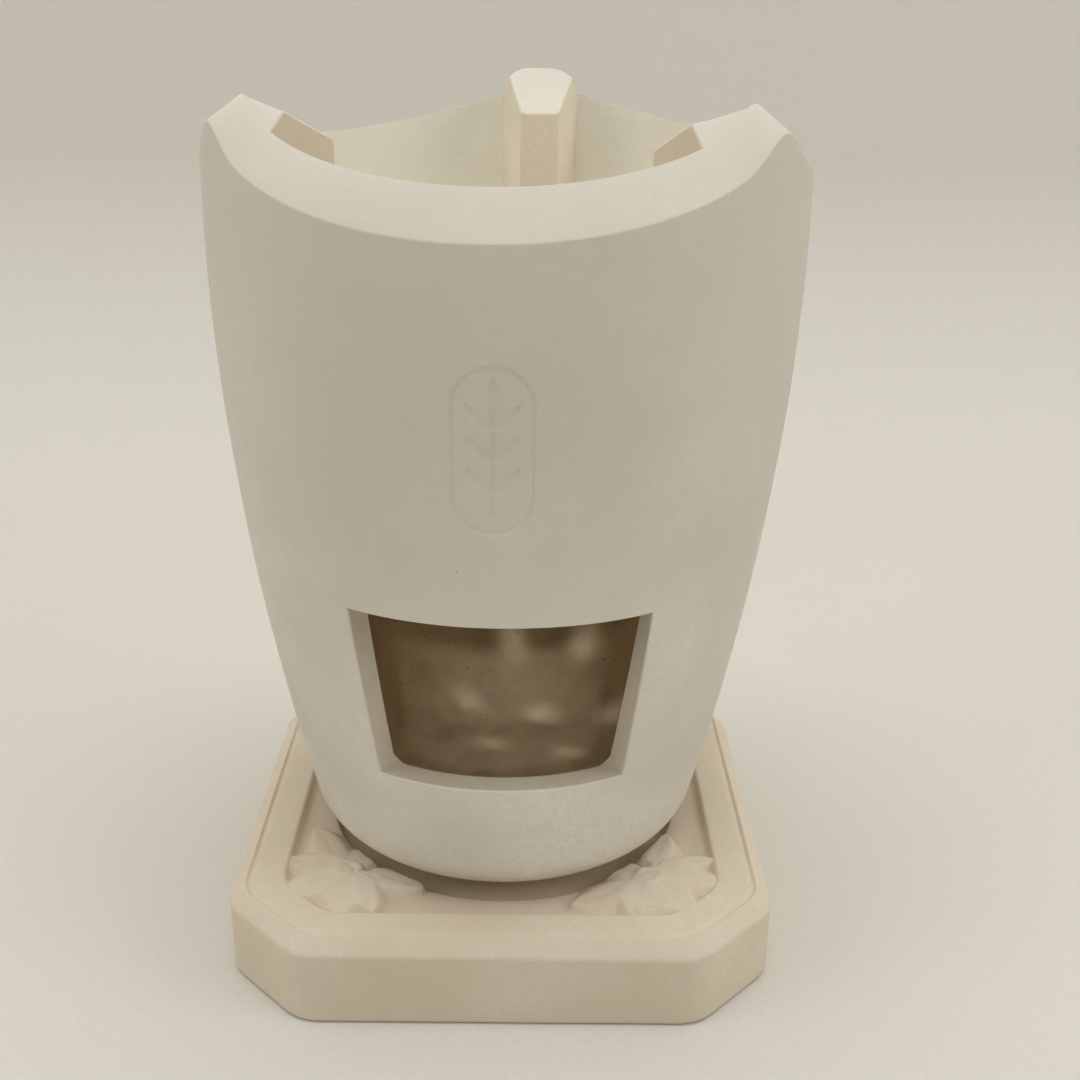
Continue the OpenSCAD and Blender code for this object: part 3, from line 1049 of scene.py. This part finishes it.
def place_lamp(name, light, place, target):
    """A lamp at a place in metres, aimed at a target, and itself unseen."""
    lamp = bpy.data.objects.new(name, light)
    bpy.context.scene.collection.objects.link(lamp)
    lamp.location = place
    aim = Vector(target) - Vector(place)
    lamp.rotation_euler = aim.to_track_quat("-Z", "Y").to_euler()
    lamp.visible_camera = False


def area_light(name, place, target, size, power, colour):
    light = bpy.data.lights.new(name, "AREA")
    light.shape = "DISK"
    light.size = size
    light.energy = power
    light.color = colour
    place_lamp(name, light, place, target)


def spot_light(name, place, target, angle, radius, power, colour):
    light = bpy.data.lights.new(name, "SPOT")
    light.spot_size = math.radians(angle)
    light.spot_blend = 0.6
    light.shadow_soft_size = radius
    light.energy = power
    light.color = colour
    place_lamp(name, light, place, target)


def soft_sky(horizon, zenith, colour):
    """A plain room: dim at the height of the eye and brighter overhead."""
    world = bpy.data.worlds.new("soft_room")
    world.use_nodes = True
    tree = world.node_tree
    way = tree.nodes.new("ShaderNodeSeparateXYZ")
    tree.links.new(tree.nodes.new("ShaderNodeTexCoord").outputs["Generated"], way.inputs["Vector"])
    rise = tree.nodes.new("ShaderNodeMapRange")
    tree.links.new(way.outputs["Z"], rise.inputs["Value"])
    rise.inputs["To Min"].default_value = horizon
    rise.inputs["To Max"].default_value = zenith
    background = tree.nodes["Background"]
    tree.links.new(rise.outputs["Result"], background.inputs["Strength"])
    background.inputs["Color"].default_value = colour
    bpy.context.scene.world = world


def build_lights():
    warm_white = (1.0, 0.975, 0.945)
    soft_sky(0.02, 0.76, (*warm_white, 1))
    area_light("ceiling_panel", (0.0, 0.15, 1.60), (0, 0.05, 0), 1.6, 13.2, warm_white)
    area_light("right_panel", (1.3, -0.45, 0.75), (0, 0, 0.12), 0.9, 4.6, warm_white)
    area_light("left_panel", (-1.3, -0.45, 0.75), (0, 0, 0.12), 0.9, 3.7, warm_white)
    spot_light("mouth_lamp", (-0.093, -0.30, 0.895), (0, 0.004, 0.205), 8.0, 0.040, 11.0, warm_white)
    spot_light("window_lamp", (0.02, -1.0, 0.60), (0, -0.063, 0.088), 3.8, 0.03, 7.0, warm_white)


def build_camera():
    """The camera where the photographer held it: a little right of the middle, looking down."""
    pitch, yaw, roll = (math.radians(d) for d in (21.4385, 0.6216, 0.9300))
    forward = Vector((math.sin(yaw) * math.cos(pitch), math.cos(yaw) * math.cos(pitch),
                      -math.sin(pitch)))
    level = Vector((math.cos(yaw), -math.sin(yaw), 0))
    up = level.cross(forward)
    right = level * math.cos(roll) + up * math.sin(roll)
    top = up * math.cos(roll) - level * math.sin(roll)
    data = bpy.data.cameras.new("camera")
    data.lens = 45.187
    data.sensor_width = 36.0
    camera = bpy.data.objects.new("camera", data)
    bpy.context.scene.collection.objects.link(camera)
    turn = Matrix((right, top, -forward)).transposed().to_4x4()
    camera.matrix_world = Matrix.Translation(Vector((5.737, -362.319, 251.011)) * MM) @ turn
    bpy.context.scene.camera = camera


build_camera()
build_backdrop()
build_lights()
trimmed = rim_clay()
build_wall([stove_clay(), painted_light_inner_clay(), painted_light_chamber_clay(), painted_shade_cut_clay(), trimmed])
# The rests' noses, and the side rests' sides, take the clay with painted shade.
painted_shade_rest = painted_shade_rest_clay()
build_rest(0, "back", [trimmed, painted_shade_rest, painted_light_flank_clay()])
build_rest(1, "left", [trimmed, painted_shade_rest, painted_shade_rest])
build_rest(2, "right", [trimmed, painted_shade_rest, painted_shade_rest])
dark_clay = bowl_clay()
build_bowl(dark_clay)
build_grate(dark_clay)
build_tray([tray_clay(), well_clay(), painted_shade_panel_clay()])
bpy.context.scene.view_settings.view_transform = "Standard"
